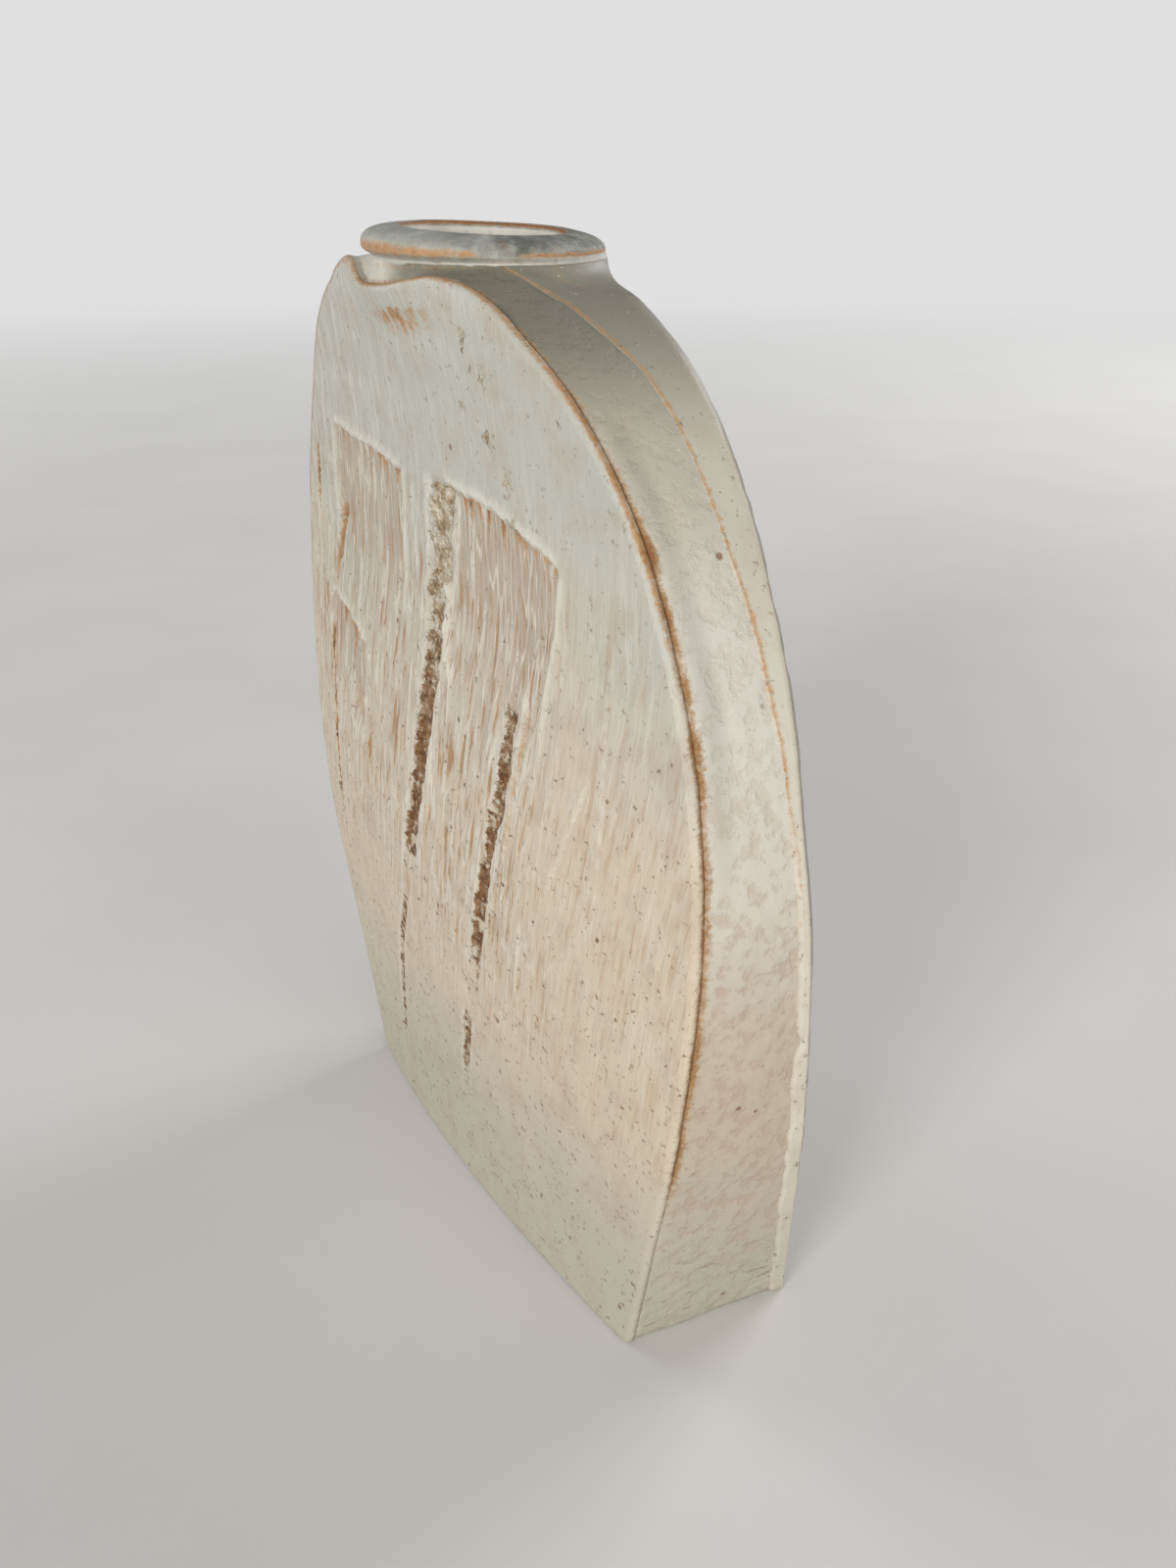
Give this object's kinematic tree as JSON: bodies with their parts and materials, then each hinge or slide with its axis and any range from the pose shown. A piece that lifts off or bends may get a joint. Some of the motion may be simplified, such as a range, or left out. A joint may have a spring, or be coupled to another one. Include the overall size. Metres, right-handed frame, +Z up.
{
  "type": "slab vase",
  "caption": "Hand-built stoneware slab vase: swelling front slab, back slab folded over the sides, side strips, inset base and a small thrown neck with a rolled lip.",
  "frame": {"origin": "on the floor plane, in the middle of the foot from left to right, and midway between the rims of the front and back slabs at the waist", "axes": "+Z up through the neck, -Y towards the front slab, +X to the right of someone facing the front slab"},
  "size_m": [0.2584, 0.0802, 0.2947],
  "materials": {
    "bare_clay": "unglazed iron-bearing stoneware, matt and slightly gritty",
    "cream_glaze": "semi-matt cream wood-ash glaze with combed grain, iron-filled gouges and rust on the edges",
    "pinkish_glaze": "semi-matt pinkish cream glaze with fine blisters and iron specks",
    "grey_white_glaze": "thick semi-matt grey-white glaze that breaks to rust at the lip and the mouth"
  },
  "bodies": {
    "root": {"base_slab": "bare_clay", "front_slab": "cream_glaze", "back_slab": "cream_glaze", "right_side_strip": "pinkish_glaze", "left_side_strip": "pinkish_glaze", "neck_collar": "grey_white_glaze"}
  },
  "joints": []
}
